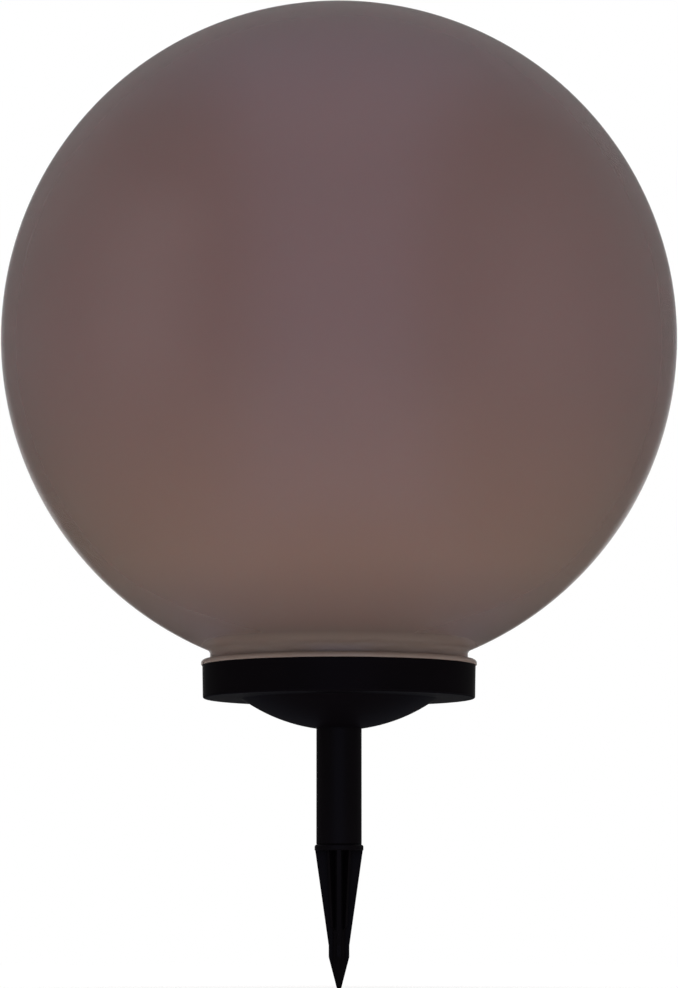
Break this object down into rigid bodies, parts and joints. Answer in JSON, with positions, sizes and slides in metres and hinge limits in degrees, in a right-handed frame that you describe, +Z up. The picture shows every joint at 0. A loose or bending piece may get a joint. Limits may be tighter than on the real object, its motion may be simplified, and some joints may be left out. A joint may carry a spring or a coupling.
{
  "type": "garden globe light",
  "caption": "Garden light: a smoke-tinted translucent globe twists into a round black base with a domed underside, on a short pole with a ground spike.",
  "frame": {"origin": "on the light's axis at ground level, where the pole's lower end stands on the spike's flange", "axes": "+Z up along the pole to the globe, -Y towards the viewer of the picture, +X to the viewer's right"},
  "size_m": [0.5032, 0.503, 0.7328],
  "materials": {
    "black_plastic": "satin",
    "smoke_plastic": "satin",
    "seal_rubber": "matte",
    "drum_plastic": "satin",
    "steel": "satin",
    "panel_laminate": "gloss",
    "silicon": "gloss",
    "circuit_board": "satin",
    "led_epoxy": "gloss",
    "part_plastic": "satin",
    "cell_sleeve": "satin",
    "knob_plastic": "satin",
    "lead_vinyl": "satin"
  },
  "bodies": {
    "spike": {"ground_spike": "black_plastic"},
    "pole": {"pole_tube": "black_plastic"},
    "base": {"base_housing": "black_plastic", "light_drum": "drum_plastic", "drum_seal": "seal_rubber", "drum_screws": "steel", "solar_panel": "panel_laminate", "solar_cells": "silicon", "ring_board": "circuit_board", "leds": "led_epoxy", "ring_board_screws": "steel", "control_board": "circuit_board", "board_parts": "part_plastic", "board_screws": "steel", "battery_holder": "drum_plastic", "batteries": "cell_sleeve", "battery_contacts": "steel", "holder_screws": "steel", "switch_body": "part_plastic", "switch_screws": "steel", "battery_leads": "lead_vinyl", "panel_leads": "lead_vinyl", "ring_board_leads": "lead_vinyl", "switch_leads": "lead_vinyl"},
    "globe": {"globe": "smoke_plastic", "globe_gasket": "seal_rubber"},
    "switch": {"switch_knob": "knob_plastic"}
  },
  "joints": [
    {"name": "pole_pull", "type": "slide", "parent": "spike", "child": "pole", "axis": [0, 0, 1], "range_m": [0, 0.025]},
    {"name": "head_lift", "type": "slide", "parent": "pole", "child": "base", "axis": [0, 0, 1], "range_m": [0, 0.032]},
    {"name": "globe_twist", "type": "hinge", "parent": "base", "child": "globe", "pos_m": [0, 0, 0.1322], "axis": [0, 0, 1], "range_deg": [0, 30]},
    {"name": "switch_slide", "type": "slide", "parent": "base", "child": "switch", "axis": [1, 0, 0], "range_m": [0, 0.004]}
  ]
}
